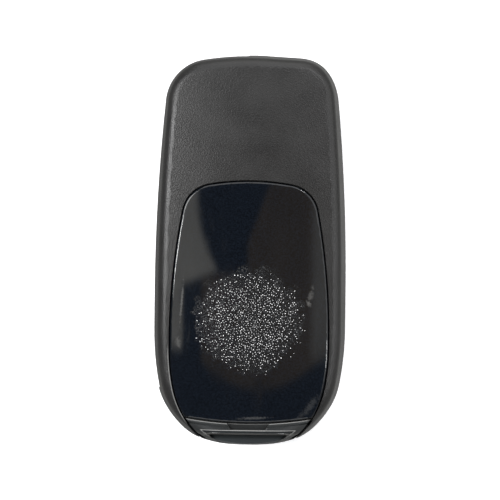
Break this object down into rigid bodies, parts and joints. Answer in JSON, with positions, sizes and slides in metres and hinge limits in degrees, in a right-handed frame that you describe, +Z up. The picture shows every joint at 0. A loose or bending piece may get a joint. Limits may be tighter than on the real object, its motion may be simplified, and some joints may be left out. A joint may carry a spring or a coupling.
{
  "type": "flip remote key",
  "caption": "Folding car remote key: rounded housing with a spring-out blade, press keys, a gloss battery cover and a key ring bar at the tail.",
  "frame": {"origin": "middle of the box on the flat key face, which the key lies on", "axes": "+Y towards the head with the blade hinge, +Z up through the battery cover, +X to the right seen from the cover side"},
  "size_m": [0.0382, 0.0778, 0.0155],
  "materials": {
    "shell": "fine-grained matte dark grey",
    "gloss_black": "glossy black",
    "silicone": "soft matte",
    "board": "green solder mask",
    "tin": "satin tin",
    "chip_black": "moulded epoxy",
    "carbon_black": "moulded epoxy wedge",
    "coil_black": "ferrite drum",
    "ceramic": "ceramic chips",
    "contact_steel": "nickel-plated spring sheet",
    "cell_steel": "brushed stainless",
    "screw_zinc": "zinc plated",
    "dark_plastic": "glass-filled plastic",
    "blade_nickel": "nickel-plated, milled",
    "pin_steel": "rolled pin",
    "spring_steel": "oiled spring wire",
    "satin_metal": "satin chrome on plastic",
    "rubber_key": "matte keys"
  },
  "bodies": {
    "housing": {"back_shell": "shell", "front_shell": "shell", "chassis": "shell", "keypad_bezel": "gloss_black", "keypad_mat": "silicone", "circuit_board": "board", "tactile_switches": "tin", "remote_chip": "chip_black", "transponder_chip": "carbon_black", "antenna_coil": "coil_black", "crystal_can": "tin", "board_passives": "ceramic", "battery_contact_plus": "contact_steel", "battery_contact_minus": "contact_steel", "coin_cell": "cell_steel", "case_screws": "screw_zinc", "spring_anchor": "dark_plastic"},
    "flip_head": {"blade_holder": "dark_plastic", "key_blade": "blade_nickel", "blade_pin": "pin_steel", "flip_spring": "spring_steel"},
    "release": {"release_button": "satin_metal"},
    "lock_key": {"lock_button": "rubber_key"},
    "unlock_key": {"unlock_button": "rubber_key"},
    "boot_key": {"boot_button": "rubber_key"},
    "cover": {"battery_cover": "gloss_black"}
  },
  "joints": [
    {"name": "blade_flip", "type": "hinge", "parent": "housing", "child": "flip_head", "pos_m": [-0.009, 0.0276, 0.0071], "axis": [0, 0, -1], "range_deg": [0, 180], "deforming": ["flip_spring"]},
    {"name": "release_press", "type": "slide", "parent": "flip_head", "child": "release", "axis": [0, 0, 1], "range_m": [0, 0.0018], "stiffness_N_per_m": 2000, "springref_m": -0.001, "deforming": ["flip_spring"]},
    {"name": "lock_press", "type": "slide", "parent": "housing", "child": "lock_key", "axis": [0, 0, 1], "range_m": [0, 0.00035], "stiffness_N_per_m": 6000, "springref_m": -0.0002, "deforming": ["keypad_mat"]},
    {"name": "unlock_press", "type": "slide", "parent": "housing", "child": "unlock_key", "axis": [0, 0, 1], "range_m": [0, 0.00035], "stiffness_N_per_m": 6000, "springref_m": -0.0002, "deforming": ["keypad_mat"]},
    {"name": "boot_press", "type": "slide", "parent": "housing", "child": "boot_key", "axis": [0, 0, 1], "range_m": [0, 0.00035], "stiffness_N_per_m": 6000, "springref_m": -0.0002, "deforming": ["keypad_mat"]},
    {"name": "cover_tilt", "type": "hinge", "parent": "housing", "child": "cover", "pos_m": [0, 0.0136, 0.01532], "axis": [-1, 0, 0], "range_deg": [0, 38]}
  ]
}
